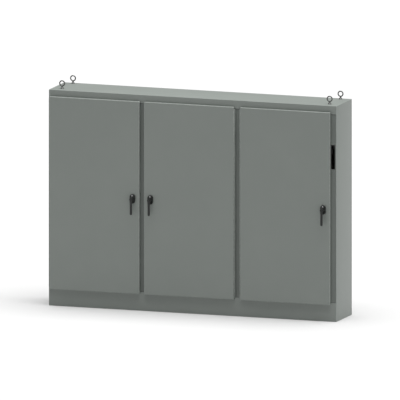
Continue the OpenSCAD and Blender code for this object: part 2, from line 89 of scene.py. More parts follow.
# %% [markdown]
# ## The studio
# The cabinet stands on a wide pale floor under a pale sky. A low, even sky gives the doors their flat tone,
# and two broad lamps, one overhead and one from the right, make the roof the brightest face and the side
# the next. Broad lamps have soft shadows, which is what shows the recess between the doors. The sky itself
# is drawn white behind the cabinet, though it lights the scene only dimly, as a paper backdrop would.

# %% Floor, sky and lamps
FLOOR_HALF = 40
floor_mesh = bpy.data.meshes.new("studio_floor")
floor_mesh.from_pydata(
    [(-FLOOR_HALF, -FLOOR_HALF, 0), (FLOOR_HALF, -FLOOR_HALF, 0), (FLOOR_HALF, FLOOR_HALF, 0),
    (-FLOOR_HALF, FLOOR_HALF, 0)],
    [], [(0, 1, 2, 3)],
)
studio_floor = bpy.data.objects.new("studio_floor", floor_mesh)
bpy.context.scene.collection.objects.link(studio_floor)
floor_paint = bpy.data.materials.new("studio_floor")
floor_paint.use_nodes = True
floor_shader = floor_paint.node_tree.nodes["Principled BSDF"]
floor_shader.inputs["Base Color"].default_value = (0.58, 0.58, 0.58, 1)
floor_shader.inputs["Roughness"].default_value = 1
floor_shader.inputs["Specular IOR Level"].default_value = 0
floor_mesh.materials.append(floor_paint)

sky = bpy.data.worlds.new("studio_sky")
sky.use_nodes = True
sky.node_tree.nodes["Background"].inputs["Color"].default_value = (1, 1, 1, 1)
sky_light = 0.22
seen_directly = sky.node_tree.nodes.new("ShaderNodeLightPath")
sky_strength = sky.node_tree.nodes.new("ShaderNodeMath")
sky_strength.operation = "MULTIPLY_ADD"
sky_strength.inputs[1].default_value, sky_strength.inputs[2].default_value = 1 - sky_light, sky_light
sky.node_tree.links.new(seen_directly.outputs["Is Camera Ray"], sky_strength.inputs[0])
sky.node_tree.links.new(sky_strength.outputs[0], sky.node_tree.nodes["Background"].inputs["Strength"])
bpy.context.scene.world = sky
bpy.context.scene.view_settings.view_transform = "Standard"


def broad_lamp(name, direction, strength, spread):
    """A distant lamp as wide as a large soft box, seen from the given direction."""
    lamp = bpy.data.objects.new(name, bpy.data.lights.new(name, "SUN"))
    lamp.data.energy = strength
    lamp.data.angle = math.radians(spread)
    lamp.rotation_euler = Vector(direction).to_track_quat("Z", "Y").to_euler()
    bpy.context.scene.collection.objects.link(lamp)
    print("lamp", name, strength)


broad_lamp("overhead", (0.08, -0.02, 1), 4.75, 50)
broad_lamp("right_hand", (1, -0.05, 0.45), 0.45, 40)

# %% [markdown]
# ## Shared surface effects
# Several finishes need the same three effects, so each is one node group with named inputs: the slight
# waviness that powder paint has after baking ("orange peel"), slow blotches from dust and handling, and
# the brightening of corners where hands and straps rub. A group only puts out numbers and colours. The
# shader that uses them stays in each material.


# %% Helpers for node trees
def put(tree, kind, values=(), **settings):
    """Adds a node, sets its properties and its unlinked inputs by name or number."""
    node = tree.nodes.new(kind)
    for key, value in settings.items():
        setattr(node, key, value)
    for key, value in dict(values).items():
        node.inputs[key].default_value = value
    return node


def effect_group(name, inputs, outputs):
    """An empty node group with its sockets. Returns the tree, its input node and its output node."""
    tree = bpy.data.node_groups.new(name, "ShaderNodeTree")
    for label, kind, start in inputs:
        socket = tree.interface.new_socket(name=label, in_out="INPUT", socket_type=kind)
        if start is not None:
            socket.default_value = start
    for label, kind in outputs:
        tree.interface.new_socket(name=label, in_out="OUTPUT", socket_type=kind)
    return tree, tree.nodes.new("NodeGroupInput"), tree.nodes.new("NodeGroupOutput")


FLOAT, COLOUR, VECTOR = "NodeSocketFloat", "NodeSocketColor", "NodeSocketVector"

# %% Orange peel
peel, peel_in, peel_out = effect_group(
    "orange_peel",
    [("Position", VECTOR, None), ("Waves per metre", FLOAT, 260), ("Grain per metre", FLOAT, 1400),
    ("Grain share", FLOAT, 0.25)],
    [("Height", FLOAT)],
)
waves = put(peel, "ShaderNodeTexNoise", {"Detail": 1.0, "Roughness": 0.4})
grain = put(peel, "ShaderNodeTexNoise", {"Detail": 2.0, "Roughness": 0.6})
blend = put(peel, "ShaderNodeMix", data_type="FLOAT")
peel.links.new(peel_in.outputs["Position"], waves.inputs["Vector"])
peel.links.new(peel_in.outputs["Position"], grain.inputs["Vector"])
peel.links.new(peel_in.outputs["Waves per metre"], waves.inputs["Scale"])
peel.links.new(peel_in.outputs["Grain per metre"], grain.inputs["Scale"])
peel.links.new(peel_in.outputs["Grain share"], blend.inputs[0])
peel.links.new(waves.outputs["Fac"], blend.inputs[2])
peel.links.new(grain.outputs["Fac"], blend.inputs[3])
peel.links.new(blend.outputs[0], peel_out.inputs["Height"])
print("group", peel.name)

# %% Dust and handling
dust, dust_in, dust_out = effect_group(
    "dust_and_handling",
    [("Position", VECTOR, None), ("Clean colour", COLOUR, (0.5, 0.5, 0.5, 1)),
    ("Dusty colour", COLOUR, (0.6, 0.6, 0.6, 1)),
     ("Amount", FLOAT, 0.3), ("Clean roughness", FLOAT, 0.45), ("Dusty roughness", FLOAT, 0.6)],
    [("Colour", COLOUR), ("Roughness", FLOAT)],
)
cloud = put(dust, "ShaderNodeTexNoise", {"Scale": 2.4, "Detail": 5.0, "Roughness": 0.55})
speck = put(dust, "ShaderNodeTexNoise", {"Scale": 900.0, "Detail": 1.0})
cloud_mask = put(dust, "ShaderNodeMapRange", {"From Min": 0.42, "From Max": 0.68})
speck_mask = put(dust, "ShaderNodeMapRange", {"From Min": 0.60, "From Max": 0.74, "To Max": 0.5})
both = put(dust, "ShaderNodeMath", operation="MAXIMUM")
share = put(dust, "ShaderNodeMath", operation="MULTIPLY")
tint = put(dust, "ShaderNodeMix", data_type="RGBA")
matt = put(dust, "ShaderNodeMix", data_type="FLOAT")
for source, target in (
    (dust_in.outputs["Position"], cloud.inputs["Vector"]),
    (dust_in.outputs["Position"], speck.inputs["Vector"]),
    (cloud.outputs["Fac"], cloud_mask.inputs["Value"]), (speck.outputs["Fac"], speck_mask.inputs["Value"]),
    (cloud_mask.outputs["Result"], both.inputs[0]), (speck_mask.outputs["Result"], both.inputs[1]),
    (both.outputs[0], share.inputs[0]), (dust_in.outputs["Amount"], share.inputs[1]),
    (share.outputs[0], tint.inputs[0]), (dust_in.outputs["Clean colour"], tint.inputs[6]),
    (dust_in.outputs["Dusty colour"], tint.inputs[7]), (share.outputs[0], matt.inputs[0]),
    (dust_in.outputs["Clean roughness"], matt.inputs[2]),
    (dust_in.outputs["Dusty roughness"], matt.inputs[3]),
    (tint.outputs[2], dust_out.inputs["Colour"]), (matt.outputs[0], dust_out.inputs["Roughness"]),
):
    dust.links.new(source, target)
print("group", dust.name)

# %% Rubbed corners
rub, rub_in, rub_out = effect_group(
    "rubbed_corners",
    [("Position", VECTOR, None), ("Colour", COLOUR, (0.5, 0.5, 0.5, 1)),
    ("Rubbed colour", COLOUR, (0.7, 0.7, 0.7, 1)),
     ("Amount", FLOAT, 0.5)],
    [("Colour", COLOUR), ("Mask", FLOAT)],
)
corner = put(rub, "ShaderNodeAttribute", attribute_name="corner")
patchy = put(rub, "ShaderNodeTexNoise", {"Scale": 35.0, "Detail": 3.0})
patchy_mask = put(rub, "ShaderNodeMapRange", {"From Min": 0.40, "From Max": 0.62})
worn = put(rub, "ShaderNodeMath", operation="MULTIPLY")
worn_share = put(rub, "ShaderNodeMath", operation="MULTIPLY")
show = put(rub, "ShaderNodeMix", data_type="RGBA")
for source, target in (
    (rub_in.outputs["Position"], patchy.inputs["Vector"]),
    (patchy.outputs["Fac"], patchy_mask.inputs["Value"]),
    (corner.outputs["Fac"], worn.inputs[0]),
    (patchy_mask.outputs["Result"], worn.inputs[1]), (worn.outputs[0], worn_share.inputs[0]),
    (rub_in.outputs["Amount"], worn_share.inputs[1]), (worn_share.outputs[0], show.inputs[0]),
    (rub_in.outputs["Colour"], show.inputs[6]), (rub_in.outputs["Rubbed colour"], show.inputs[7]),
    (show.outputs[2], rub_out.inputs["Colour"]), (worn_share.outputs[0], rub_out.inputs["Mask"]),
):
    rub.links.new(source, target)
print("group", rub.name)

# %% [markdown]
# ## Painted and moulded finishes
# The body, doors, posts, pocket and mounting panels are all powder painted, and the handles are black
# paint on a zinc casting. They differ in colour, gloss and how coarse the peel is, so one function makes
# them all from the three groups. The numbers that are the same all over a surface are set on the shader.


# %% Painted finish
def group_node(tree, group, values=()):
    node = tree.nodes.new("ShaderNodeGroup")
    node.node_tree = group
    for key, value in dict(values).items():
        node.inputs[key].default_value = value
    return node


def painted(name, colour, dusty, rubbed, amount=0.3, rub_amount=0.5, rough=(0.42, 0.58),
    peel_scale=(260, 1400),
            grain_share=0.25, depth=0.00006, specular=0.4, metallic=0.0, coat=0.0):
    """A painted surface: dust over the colour, rubbed corners over the dust, and orange peel as relief."""
    made = bpy.data.materials.new(name)
    made.use_nodes = True
    tree = made.node_tree
    shader = tree.nodes["Principled BSDF"]
    place = put(tree, "ShaderNodeTexCoord")
    dusted = group_node(tree, dust, {"Clean colour": (*colour, 1), "Dusty colour": (*dusty, 1),
        "Amount": amount,
                                     "Clean roughness": rough[0], "Dusty roughness": rough[1]})
    corners = group_node(tree, rub, {"Rubbed colour": (*rubbed, 1), "Amount": rub_amount})
    relief = group_node(tree, peel, {"Waves per metre": peel_scale[0], "Grain per metre": peel_scale[1],
                                     "Grain share": grain_share})
    bump = put(tree, "ShaderNodeBump", {"Strength": 0.6, "Distance": depth})
    for step in (dusted, corners, relief):
        tree.links.new(place.outputs["Object"], step.inputs["Position"])
    tree.links.new(dusted.outputs["Colour"], corners.inputs["Colour"])
    tree.links.new(corners.outputs["Colour"], shader.inputs["Base Color"])
    tree.links.new(dusted.outputs["Roughness"], shader.inputs["Roughness"])
    tree.links.new(relief.outputs["Height"], bump.inputs["Height"])
    tree.links.new(bump.outputs["Normal"], shader.inputs["Normal"])
    shader.inputs["Specular IOR Level"].default_value = specular
    shader.inputs["Metallic"].default_value = metallic
    shader.inputs["Coat Weight"].default_value = coat
    print("finish", name)
    return made


PAINT = (0.213, 0.234, 0.218)
FINISH = {}
FINISH["cabinet_paint"] = painted("cabinet_paint", PAINT, (0.27, 0.29, 0.27), (0.33, 0.35, 0.33), amount=0.12,
    rub_amount=0.35)
# The strip finish is the door paint made darker and greener: painted shade for the recess between the doors.
FINISH["strip_paint"] = painted("strip_paint", (0.136, 0.152, 0.140), (0.19, 0.20, 0.19), (0.24, 0.25, 0.24),
    amount=0.12,
                                rub_amount=0.3)
FINISH["pocket_paint"] = painted("pocket_paint", (0.24, 0.265, 0.247), (0.28, 0.30, 0.28), (0.36, 0.38, 0.36),
    amount=0.18,
                                 rub_amount=0.4)
FINISH["panel_white"] = painted("panel_white", (0.78, 0.79, 0.77), (0.70, 0.70, 0.67), (0.86, 0.86, 0.85),
    amount=0.25,
                                rub_amount=0.3, rough=(0.32, 0.48))
FINISH["handle_black"] = painted("handle_black", (0.010, 0.012, 0.011), (0.026, 0.028, 0.026),
    (0.10, 0.10, 0.096), amount=0.25,
                                 rub_amount=0.6, rough=(0.34, 0.52), peel_scale=(700, 3200), grain_share=0.7,
                                 depth=0.00008,
                                 specular=0.4)

# %% [markdown]
# ## Bare metal
# The latch parts, pins, studs and nuts are zinc plated: a bluish silver with slow yellow clouds and fine
# spangle. The lifting eyes are drop forged, so their skin is darker and slightly pitted, and the lock plug
# is satin chrome with turning marks. All are metallic, and what differs is colour, gloss and relief.


# %% Metal finish
def plated(name, colour, cloudy, rough, spread=14.0, pits=1800.0, depth=0.00003, metallic=1.0,
    stretch=(1, 1, 1)):
    made = bpy.data.materials.new(name)
    made.use_nodes = True
    tree = made.node_tree
    shader = tree.nodes["Principled BSDF"]
    place = put(tree, "ShaderNodeTexCoord")
    drawn = put(tree, "ShaderNodeMapping", {"Scale": stretch})
    clouds = put(tree, "ShaderNodeTexNoise", {"Scale": spread, "Detail": 4.0, "Roughness": 0.6})
    pitting = put(tree, "ShaderNodeTexNoise", {"Scale": pits, "Detail": 2.0})
    tone = put(tree, "ShaderNodeMix", {6: (*colour, 1), 7: (*cloudy, 1)}, data_type="RGBA")
    gloss = put(tree, "ShaderNodeMapRange",
        {"From Min": 0.3, "From Max": 0.7, "To Min": rough[0], "To Max": rough[1]})
    bump = put(tree, "ShaderNodeBump", {"Strength": 0.7, "Distance": depth})
    for source, target in (
        (place.outputs["Object"], drawn.inputs["Vector"]), (place.outputs["Object"], clouds.inputs["Vector"]),
        (drawn.outputs["Vector"], pitting.inputs["Vector"]), (clouds.outputs["Fac"], tone.inputs[0]),
        (tone.outputs[2], shader.inputs["Base Color"]), (pitting.outputs["Fac"], gloss.inputs["Value"]),
        (gloss.outputs["Result"], shader.inputs["Roughness"]),
        (pitting.outputs["Fac"], bump.inputs["Height"]),
        (bump.outputs["Normal"], shader.inputs["Normal"]),
    ):
        tree.links.new(source, target)
    shader.inputs["Metallic"].default_value = metallic
    print("finish", name)
    return made


FINISH["zinc"] = plated("zinc", (0.62, 0.64, 0.66), (0.60, 0.57, 0.46), (0.26, 0.42))
FINISH["eye_steel"] = plated("eye_steel", (0.12, 0.124, 0.123), (0.19, 0.19, 0.185), (0.38, 0.56), spread=60,
    pits=900,
                             depth=0.00012, metallic=0.85)
FINISH["lock_chrome"] = plated("lock_chrome", (0.40, 0.405, 0.41), (0.34, 0.345, 0.35), (0.20, 0.34),
    spread=40, pits=600,
                               stretch=(1, 30, 1))

# %% [markdown]
# ## Foam and nylon
# The gasket is closed-cell sponge: dull, nearly black, with a skin full of small bubbles, which a Voronoi
# pattern gives. The rollers are natural nylon: cream, half gloss, with faint turning rings from the lathe.


# %% Foam and nylon
def foam(name, colour, bubble):
    made = bpy.data.materials.new(name)
    made.use_nodes = True
    tree = made.node_tree
    shader = tree.nodes["Principled BSDF"]
    place = put(tree, "ShaderNodeTexCoord")
    cells = put(tree, "ShaderNodeTexVoronoi", {"Scale": 1 / bubble})
    shade = put(tree, "ShaderNodeMapRange", {"From Max": 0.6, "To Min": 0.75, "To Max": 1.5})
    tone = put(tree, "ShaderNodeMix", {0: 1.0, 6: (*colour, 1)}, data_type="RGBA", blend_type="MULTIPLY")
    bump = put(tree, "ShaderNodeBump", {"Strength": 0.8, "Distance": bubble * 0.2})
    tree.links.new(place.outputs["Object"], cells.inputs["Vector"])
    tree.links.new(cells.outputs["Distance"], shade.inputs["Value"])
    tree.links.new(shade.outputs["Result"], tone.inputs[7])
    tree.links.new(tone.outputs[2], shader.inputs["Base Color"])
    tree.links.new(cells.outputs["Distance"], bump.inputs["Height"])
    tree.links.new(bump.outputs["Normal"], shader.inputs["Normal"])
    shader.inputs["Roughness"].default_value = 0.95
    shader.inputs["Specular IOR Level"].default_value = 0.15
    print("finish", name)
    return made


FINISH["gasket_foam"] = foam("gasket_foam", (0.018, 0.018, 0.019), 0.0009)
FINISH["nylon"] = painted("nylon", (0.72, 0.70, 0.62), (0.62, 0.60, 0.52), (0.80, 0.78, 0.70), amount=0.3,
    rub_amount=0.2,
                          rough=(0.35, 0.5), peel_scale=(500, 4000), grain_share=0.6, depth=0.00003)

# %% [markdown]
# ## Rounding what was drawn sharp
# Sheet steel is never perfectly sharp: a cut edge has a small burr-free radius and a bend has a larger one,
# and both catch a thin line of light. For a piece whose measured shape is already right, the simplest way is
# to copy its mesh, merge its loose triangles into flat faces, and let a Bevel modifier round the edges by a
# weight on each edge. The bevel also tells its new faces apart, so a "corner" attribute can steer the wear.

# %% Helpers for pieces
CREASE = math.radians(28)


def linked(name, mesh):
    piece = bpy.data.objects.new(name, mesh)
    bpy.context.scene.collection.objects.link(piece)
    return piece


def bevelled(name, bm, radius, fine=None, is_bend=lambda edge: True, skip=lambda edge: False, steps=3):
    """Makes an object whose sharp edges are rounded: bends by radius, all other sharp edges by fine."""
    weight = bm.edges.layers.float.new("bevel_weight_edge")
    for edge in bm.edges:
        if len(edge.link_faces) != 2 or edge.calc_face_angle(0) < CREASE:
            continue
        if skip(edge):
            edge.smooth = False
        else:
            edge[weight] = 1.0 if is_bend(edge) else fine / radius
    for face in bm.faces:
        face.smooth = True
    mesh = bpy.data.meshes.new(name)
    bm.to_mesh(mesh)
    bm.free()
    for _ in range(2):
        mesh.materials.append(None)
    piece = linked(name, mesh)
    bend = piece.modifiers.new("rounding", "BEVEL")
    bend.width, bend.segments, bend.limit_method, bend.material = radius, steps, "WEIGHT", 1
    bend.harden_normals = True
    return piece


def finished(piece, body, finish, *stands_for):
    """Freezes the modifiers, marks the rounded corners, paints the piece and hands it to its body."""
    mesh = bpy.data.meshes.new_from_object(piece.evaluated_get(bpy.context.evaluated_depsgraph_get()))
    piece.modifiers.clear()
    piece.data = mesh
    mesh.name = piece.name
    slot_index = np.zeros(len(mesh.polygons), np.int32)
    mesh.polygons.foreach_get("material_index", slot_index)
    corner = mesh.attributes.new("corner", "FLOAT", "FACE")
    corner.data.foreach_set("value", (slot_index == 1).astype(np.float32))
    mesh.polygons.foreach_set("material_index", np.zeros(len(mesh.polygons), np.int32))
    mesh.materials.clear()
    mesh.materials.append(FINISH[finish])
    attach(piece, body)
    if stands_for:
        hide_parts(*stands_for)
    print(piece.name, len(mesh.polygons), "faces on", body)
    return piece


def merged_copy(node):
    """The node's triangles as one closed mesh with flat faces, ready for a bevel."""
    bm = bmesh.new()
    bm.from_mesh(nodes[node].data)
    bmesh.ops.remove_doubles(bm, verts=bm.verts, dist=1e-6)
    bmesh.ops.dissolve_limit(bm, angle_limit=math.radians(0.4), verts=bm.verts, edges=bm.edges)
    return bm


# %% Body sheets
BEND = 0.0021
EDGE = 0.0003
outer_planes = [(axis, corner[axis]) for corner in (BODY_LOW, BODY_HIGH) for axis in range(3)]


def planes_under(edge):
    """How many of the body's six outer faces an edge lies on."""
    return sum(all(abs(v.co[axis] - at) < 1e-5 for v in edge.verts) for axis, at in outer_planes)


for sheet in ("back_panel", "left_side", "right_side", "top_panel", "bottom_panel", "top_rail", "base_rail"):
    rounded = bevelled("body_" + sheet, merged_copy(sheet), BEND, EDGE, lambda e: planes_under(e) > 1,
                       skip=lambda e: planes_under(e) == 1)
    finished(rounded, "cabinet", "cabinet_paint", sheet)

# %% [markdown]
# ## Posts, flanges and inside sheets
# The posts are channels with a lip each side that the door gaskets press on, and the right flange has the
# open slot. They are the same paint as the doors but sit deep between them, so their finish is that paint
# made darker and greener as painted shade for the recess. The mounting panels, pocket, stiffeners and rod
# guides are plain folded sheet, so the same rounding serves them all.

# %% Posts, flanges and inside sheets
for strip in ("left_flange", "right_flange", "post_1", "post_2"):
    # Posts and flanges take the darker strip finish as painted shade for their recess.
    finished(bevelled("recessed_" + strip, merged_copy(strip), 0.0005), "cabinet", "strip_paint", strip)
for n in (1, 2, 3):
    finished(bevelled(f"white_panel_{n}", merged_copy(f"mounting_panel_{n}"), 0.0006), "cabinet",
        "panel_white",
             f"mounting_panel_{n}")
    finished(bevelled(f"stiffeners_{n}", merged_copy(f"door_bracing_{n}"), 0.0004), f"door_{n}",
        "cabinet_paint",
             f"door_bracing_{n}")
finished(bevelled("drawing_pocket", merged_copy("document_pocket"), 0.0004), "door_3", "pocket_paint",
    "document_pocket")

# %% [markdown]
# ## Doors
# Each door is one sheet folded into a shallow pan: a flat face, a bend of a few millimetres all round and a
# rim that points back at the body. It could be a solidified plane, but then the inside of a bend would have
# the wrong radius. Here the pan is built as two open boxes, one inside the other, joined along the rim. The
# outer bend gets the full radius, and the inside bend and the rim get a fine edge.

# %% Door pans
DOOR_SHEET = 0.002
DOOR_BEND = 0.0065
DOOR_RIM_EDGE = 0.0003


def door_pan(n):
    low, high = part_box(f"door_{n}")
    bm = bmesh.new()
    rings = []
    for inset, y in ((0, high.y), (0, low.y), (DOOR_SHEET, low.y + DOOR_SHEET), (DOOR_SHEET, high.y)):
        rings.append([bm.verts.new((x, y, z)) for x, z in (
            (low.x + inset, low.z + inset), (high.x - inset, low.z + inset),
            (high.x - inset, high.z - inset), (low.x + inset, high.z - inset))])
    for a, b in ((0, 1), (2, 3), (3, 0)):
        for k in range(4):
            bm.faces.new((rings[a][k], rings[a][k - 1], rings[b][k - 1], rings[b][k]))
    bm.faces.new(rings[1])
    bm.faces.new(reversed(rings[2]))
    bmesh.ops.recalc_face_normals(bm, faces=bm.faces)

    def is_bend(edge):
        return all(v.co.y < low.y + 1e-5 for v in edge.verts) or (
            all(min(abs(v.co.x - low.x), abs(v.co.x - high.x)) < 1e-5 for v in edge.verts)
            and abs(edge.verts[0].co.y - edge.verts[1].co.y) > 0.01)

    return bevelled(f"pan_{n}", bm, DOOR_BEND, DOOR_RIM_EDGE, is_bend, steps=4)


for n in (1, 2, 3):
    finished(door_pan(n), f"door_{n}", "cabinet_paint", f"door_{n}")

# %% [markdown]
# ## Gaskets
# A strip of sponge is glued round the inside of each door. It has soft shoulders and a shallow groove where
# the collar of the opening has pressed into it for years. A generous bevel on the measured ring gives the
# shoulders.

# %% Gaskets
for n in (1, 2, 3):
    finished(bevelled(f"sponge_{n}", merged_copy(f"gasket_{n}"), 0.0022), f"door_{n}", "gasket_foam",
        f"gasket_{n}")

# %% [markdown]
# ## Turned shapes
# Knobs, bosses, plugs and studs are turned on a lathe, so their mesh is a profile swept round an axis. One
# helper draws such a shape from a list of radius and height pairs, and it closes the ends at the axis.


# %% Lathe and loft helpers
def turned(bm, profile, place, facets=48):
    """Sweeps (radius, height) pairs round the local Z of place. A radius of zero closes an end."""
    rings = []
    for radius, height in profile:
        if radius == 0:
            rings.append([bm.verts.new(place @ Vector((0, 0, height)))])
        else:
            rings.append([bm.verts.new(place @ Vector((radius * math.cos(a), radius * math.sin(a), height)))
                          for a in np.linspace(0, 2 * math.pi, facets, endpoint=False)])
    skinned(bm, rings)


def skinned(bm, rings):
    """Joins neighbouring rings of points with faces. A ring of one point becomes a fan."""
    for a, b in zip(rings, rings[1:]):
        count = max(len(a), len(b))
        for k in range(count):
            corners = [a[k % len(a)], a[(k + 1) % len(a)], b[(k + 1) % len(b)], b[k % len(b)]]
            bm.faces.new(list(dict.fromkeys(corners)))


def toward_front(x, y, z):
    """A place whose local Z points out of the door's face, which is towards -Y."""
    return Matrix.Translation((x, y, z)) @ Matrix.Rotation(math.radians(90), 4, "X")


def rounded_end(radius, height, bend, steps=4):
    """Profile points that turn from a side wall of that radius to a flat end at that height."""
    return [(radius - bend + bend * math.cos(a), height - bend + bend * math.sin(a))
            for a in np.linspace(0, math.pi / 2, steps + 1)]


def shape_from(name, bm, smooth=CREASE):
    """A plain object from a bmesh, with smooth faces and crisp creases."""
    bmesh.ops.recalc_face_normals(bm, faces=bm.faces)
    for face in bm.faces:
        face.smooth = True
    for edge in bm.edges:
        edge.smooth = len(edge.link_faces) == 2 and edge.calc_face_angle(0) < smooth
    mesh = bpy.data.meshes.new(name)
    bm.to_mesh(mesh)
    bm.free()
    return linked(name, mesh)


# %% [markdown]
# ## Handles
# The handle is a zinc casting in black paint: an oval base with a raised rim and a round boss, and a swing
# lever whose hub sits on the boss. Castings have no sharp edge anywhere, so the base is a stack of ovals
# with a rounded shoulder, and the lever is a loft of soft sections that narrows below the hub and swells a
# little at its tip. A subdivision surface smooths the loft.

# %% Handle bases
RIM_W, RIM_DROP = 0.0062, 0.0014


def oval_ring(bm, place, width, height, inset, rise, facets=64):
    """A ring of points on an upright oval, pulled in by inset and lifted by rise along local Z."""
    radius = width / 2 - inset
    offset = (height - width) / 2
    ring = []
    for k in range(facets):
        a = 2 * math.pi * (k + 0.5) / facets
        side = offset if math.sin(a) > 0 else -offset
        ring.append(bm.verts.new(place @ Vector((radius * math.cos(a), radius * math.sin(a) + side, rise))))
    return ring


def capped(bm, ring, flip=False):
    bm.faces.new(reversed(ring) if flip else ring)


def pivot_of(n):
    return Vector(joints[f"handle_{n}_turn"]["pos_m"])


def hex_nut(bm, place, flats, bore, low, high, chamfer=0.0008, per_side=4):
    """A hex nut along local Z, with chamfered corners and an open bore."""
    count = 6 * per_side

    def ring(outline, height):
        return [bm.verts.new(place @ Vector((r * math.cos(a), r * math.sin(a), height))) for a, r in outline]

    angles = [2 * math.pi * k / count for k in range(count)]
    hexagon = [(a, flats / 2 / math.cos((a + math.pi / 6) % (math.pi / 3) - math.pi / 6)) for a in angles]
    chamfered = [(a, min(r, flats / 2 * 0.97)) for a, r in hexagon]
    hole = [(a, bore) for a in angles]
    rings = [ring(hole, low), ring(chamfered, low), ring(hexagon, low + chamfer),
        ring(hexagon, high - chamfer),
             ring(chamfered, high), ring(hole, high)]
    skinned(bm, rings + rings[:1])


for n in (1, 2, 3):
    low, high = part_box(f"handle_base_{n}")
    face_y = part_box(f"door_{n}")[0].y
    pivot = pivot_of(n)
    place = toward_front(pivot.x, face_y, pivot.z)
    width, height, boss_top = high.x - low.x, high.z - low.z, face_y - low.y
    plate = boss_top - 0.016
    bm = bmesh.new()
    rings = [oval_ring(bm, place, width, height, inset, rise) for inset, rise in (
        (0, 0), (0.0002, plate - 0.0042), (0.0006, plate - 0.0024), (0.0018, plate - 0.0008), (0.0036, plate),
        (RIM_W, plate), (RIM_W + 0.0006, plate - 0.0003), (RIM_W + 0.0012, plate - RIM_DROP))]
    skinned(bm, rings)
    capped(bm, rings[0])
    capped(bm, rings[-1])
    turned(bm, [(0, plate - 0.003), (0.0232, plate - 0.003), (0.0225, plate - 0.0012),
        (0.0208, plate + 0.0006),
                (0.0199, plate + 0.003), *rounded_end(0.0196, boss_top, 0.0022), (0, boss_top)], place)
    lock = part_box(f"lock_plug_{n}")
    lock_z = (lock[0].z + lock[1].z) / 2
    collar = toward_front(pivot.x, face_y, lock_z)
    turned(bm, [(0.0081, plate - 0.004), (0.0117, plate - 0.004), (0.0115, plate - 0.0002),
        (0.0104, plate + 0.0008),
                (0.0088, plate + 0.0008), (0.0081, plate + 0.0003), (0.0081, plate - 0.004)], collar)
    behind = -(high.y - face_y)
    threads = [(0.0150 - 0.0007 * (k % 2), -0.0019 - 0.0008 * k) for k in range(10)]
    turned(bm, [(0.0082, 0.001), (0.0150, 0.001), *[t for t in threads if t[1] > behind + 0.0003],
                (0.0143, behind), (0.0082, behind), (0.0082, 0.001)], place, facets=40)
    hex_nut(bm, place, 0.0405, 0.0151, -0.0081, -0.0021, chamfer=0.0012)
    base = shape_from(f"oval_base_{n}", bm)
    finished(base, f"door_{n}", "handle_black", f"handle_base_{n}")

# %% Swing levers
LEVER_SECTIONS = (  # drop below the pivot, half width, half thickness, centre above the door, in millimetres
    (-11.0, 6.4, 3.0, 50.3), (-6.0, 11.0, 4.8, 50.2), (4.0, 13.4, 5.6, 50.1), (15.0, 13.8, 5.8, 50.0),
    (26.0, 12.8, 5.8, 49.9), (40.0, 11.6, 5.6, 49.8), (62.0, 11.1, 5.4, 49.8), (95.0, 11.2, 5.4, 49.8),
    (118.0, 11.6, 5.7, 49.9), (140.2, 11.8, 5.8, 50.0), (148.6, 10.4, 5.3, 50.0), (152.5, 7.4, 4.0, 50.0),
    (153.9, 3.6, 2.0, 50.0),
)


def lever_ring(bm, place, drop, half_w, half_t, centre, points=20, squareness=0.62):
    """A soft-cornered rectangle across the lever."""
    ring = []
    for k in range(points):
        a = 2 * math.pi * k / points
        u, v = math.cos(a), math.sin(a)
        x = math.copysign(abs(u) ** squareness, u) * half_w
        t = math.copysign(abs(v) ** squareness, v) * half_t
        ring.append(bm.verts.new(place @ Vector((x / 1000, -drop / 1000, (centre + t) / 1000))))
    return ring


for n in (1, 2, 3):
    face_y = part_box(f"door_{n}")[0].y
    low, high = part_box(f"handle_{n}")
    pivot = pivot_of(n)
    place = toward_front(pivot.x, face_y, pivot.z)
    top, under = face_y - low.y, face_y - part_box(f"handle_base_{n}")[0].y + 0.0003
    bm = bmesh.new()
    rings = [lever_ring(bm, place, *section) for section in LEVER_SECTIONS]
    skinned(bm, rings)
    capped(bm, rings[0])
    capped(bm, rings[-1])
    bmesh.ops.recalc_face_normals(bm, faces=bm.faces)
    arm = shape_from(f"lever_arm_{n}", bm, smooth=math.pi)
    rounding = arm.modifiers.new("smoothing", "SUBSURF")
    rounding.levels = rounding.render_levels = 2
    arm_mesh = bpy.data.meshes.new_from_object(arm.evaluated_get(bpy.context.evaluated_depsgraph_get()))
    bm = bmesh.new()
    bm.from_mesh(arm_mesh)
    bpy.data.objects.remove(arm)
    turned(bm, [(0, under), (0.0156, under), (0.0166, under + 0.0008), (0.0170, under + 0.0030),
                *rounded_end(0.0170, top - 0.0006, 0.0040, 5), (0.0085, top - 0.0006), (0.0078, top - 0.0016),
                (0, top - 0.0016)],
           place)
    turned(bm, [(0, top - 0.0017), (0.0060, top - 0.0017), (0.0060, top - 0.0009), (0.0052, top), (0, top)],
        place, 32)
    turned(bm, [(0, under + 0.001), (0.0080, under + 0.001), (0.0080, face_y - high.y + 0.014),
        (0, face_y - high.y + 0.014)],
           place, 32)
    lever = shape_from(f"swing_lever_{n}", bm, smooth=math.radians(40))
    finished(lever, f"handle_{n}", "handle_black", f"handle_{n}")

# %% [markdown]
# ## Continuous hinges
# Each door turns on a hinge as tall as its opening. The hinge is two long leaves whose edges are curled
# into knuckles, cut so that they interlock, and one pin through them all. Seventy-odd equal barrels in a row
# are a job for Geometry Nodes: a short tree draws one chamfered barrel from its sizes and sets copies on a
# line at every second pitch. Its inputs are the real sizes, so the same tree makes both leaves of all hinges.


# %% Helpers for geometry trees
def geometry_tree(name, inputs):
    """An empty geometry tree. Returns the tree, its input and output nodes, and its keys by socket name."""
    tree = bpy.data.node_groups.new(name, "GeometryNodeTree")
    tree.interface.new_socket(name="Geometry", in_out="INPUT", socket_type="NodeSocketGeometry")
    keys = {}
    for label, kind, start in inputs:
        socket = tree.interface.new_socket(name=label, in_out="INPUT", socket_type=kind)
        if start is not None:
            socket.default_value = start
        keys[label] = socket.identifier
    tree.interface.new_socket(name="Geometry", in_out="OUTPUT", socket_type="NodeSocketGeometry")
    return tree, tree.nodes.new("NodeGroupInput"), tree.nodes.new("NodeGroupOutput"), keys


def wired(tree, *pairs):
    for source, target in pairs:
        tree.links.new(source, target)


